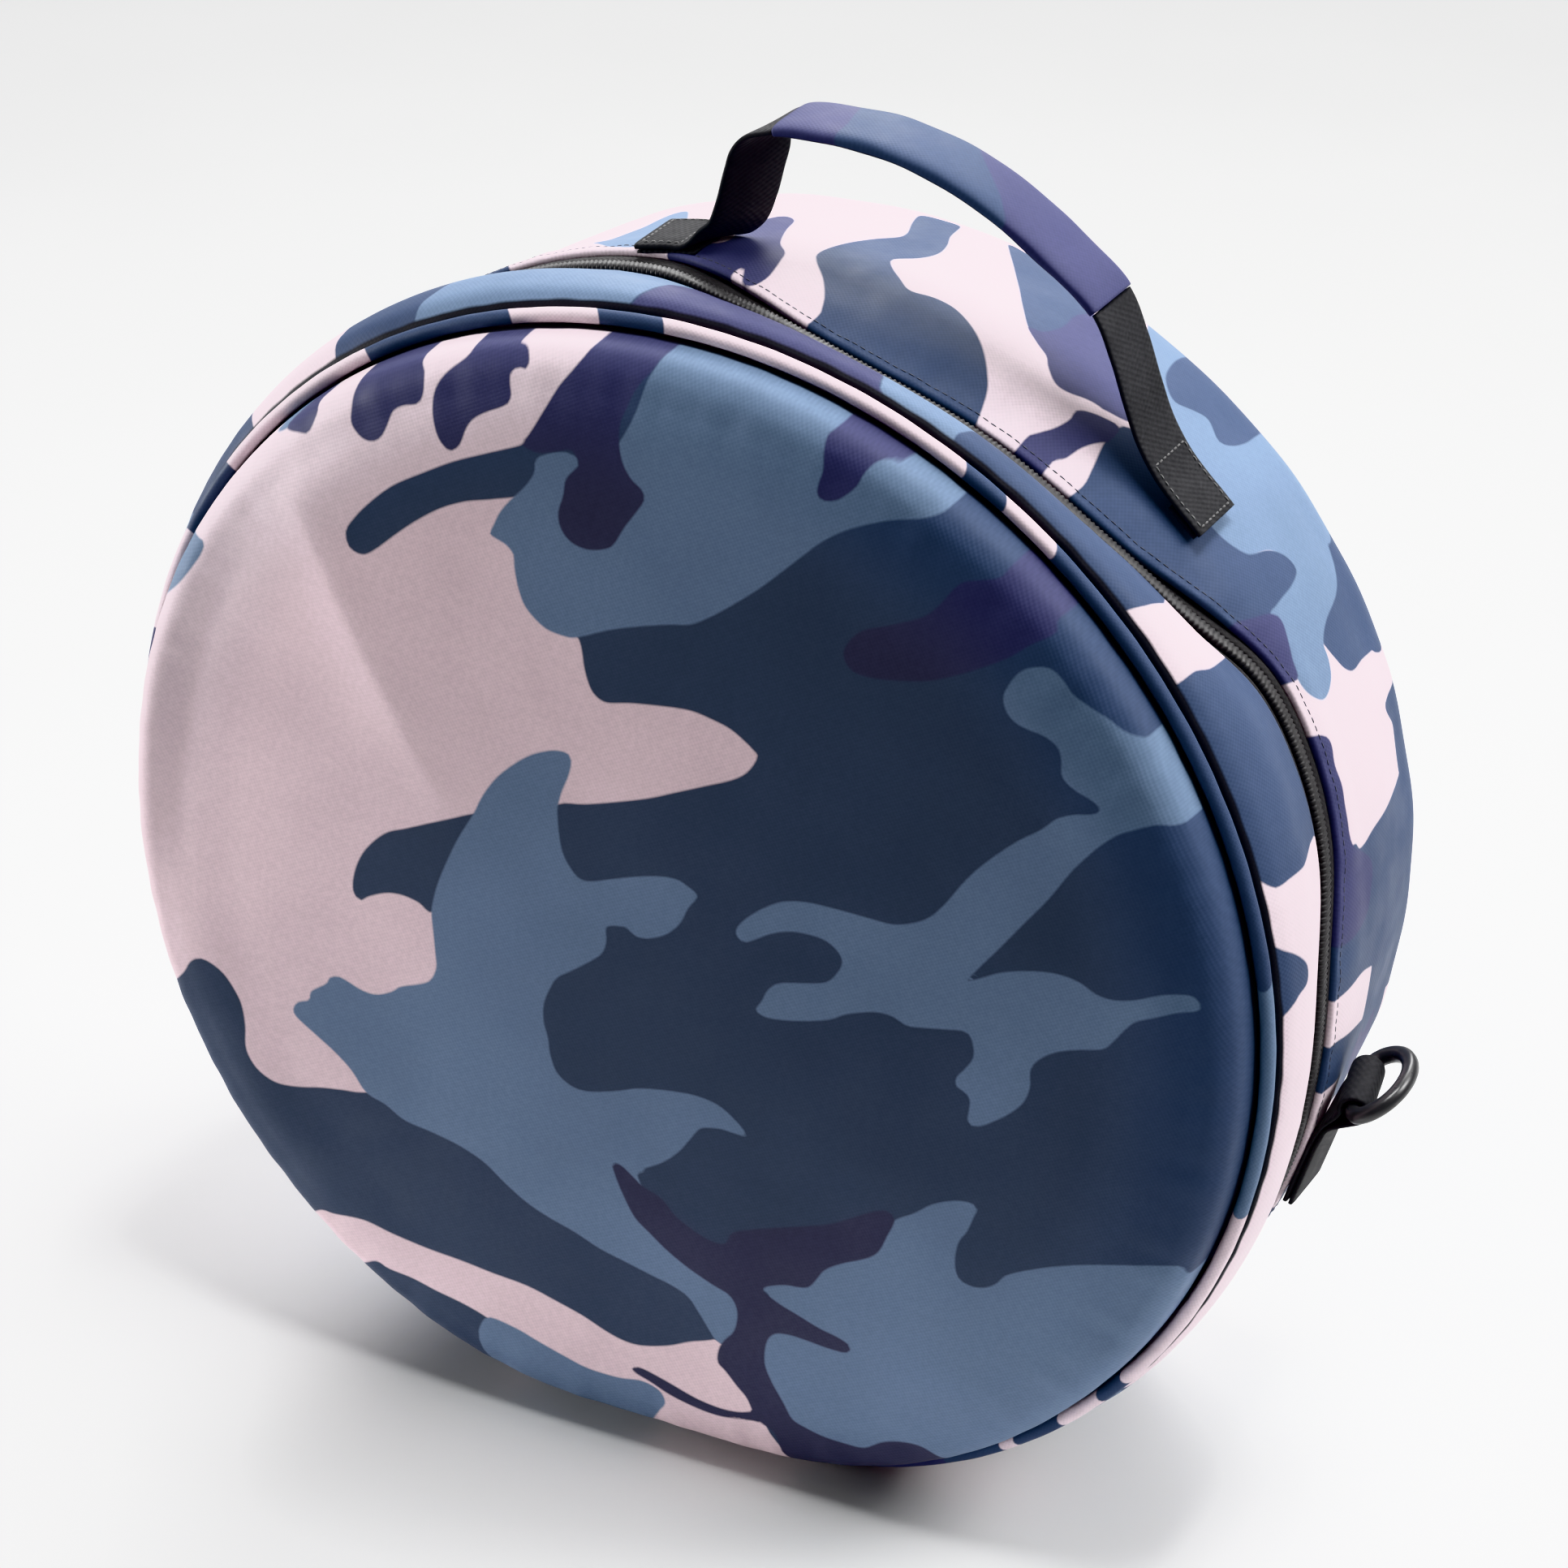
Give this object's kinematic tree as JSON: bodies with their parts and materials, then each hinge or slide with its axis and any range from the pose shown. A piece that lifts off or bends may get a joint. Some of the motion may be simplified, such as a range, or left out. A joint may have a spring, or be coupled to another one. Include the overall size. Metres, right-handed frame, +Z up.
{
  "type": "scuba regulator bag",
  "caption": "Round padded zip bag with a camouflage print, piped domed front, wide gusset, webbing carry handle with padded grip and a side ring for a shoulder strap.",
  "frame": {"origin": "middle of the flattened underside, on the surface that the bag rests on", "axes": "+Z up, -Y out of the domed front panel, +X to the bag's right seen from the front, the side that the handle leans to and the side ring is on"},
  "size_m": [0.3437, 0.141, 0.3523],
  "materials": {
    "printed_cloth": "matt printed polyester over foam, pink, steel-blue, navy and purple camouflage",
    "zip_tape": "matt black woven tape",
    "zip_coil": "black nylon coil",
    "black_webbing": "black woven webbing",
    "black_plastic": "black moulded plastic, slight sheen"
  },
  "bodies": {
    "bag": {"front_panel": "printed_cloth", "front_piping": "printed_cloth", "front_band": "printed_cloth", "zip_tape_front": "zip_tape", "zip_coil": "zip_coil", "zip_tape_rear": "zip_tape", "hinge_strip": "printed_cloth", "rear_gusset": "printed_cloth", "back_panel": "printed_cloth", "handle_grip": "printed_cloth", "handle_strap_left": "black_webbing", "handle_strap_right": "black_webbing", "ring_tab": "black_webbing", "zip_slider": "black_plastic"},
    "ring": {"side_ring": "black_plastic"}
  },
  "joints": [
    {"name": "ring_swing", "type": "hinge", "parent": "bag", "child": "ring", "pos_m": [0.16453, -0.007, 0.1243], "axis": [-0.1985, 0.9781, 0.0618], "range_deg": [-25, 95]}
  ]
}
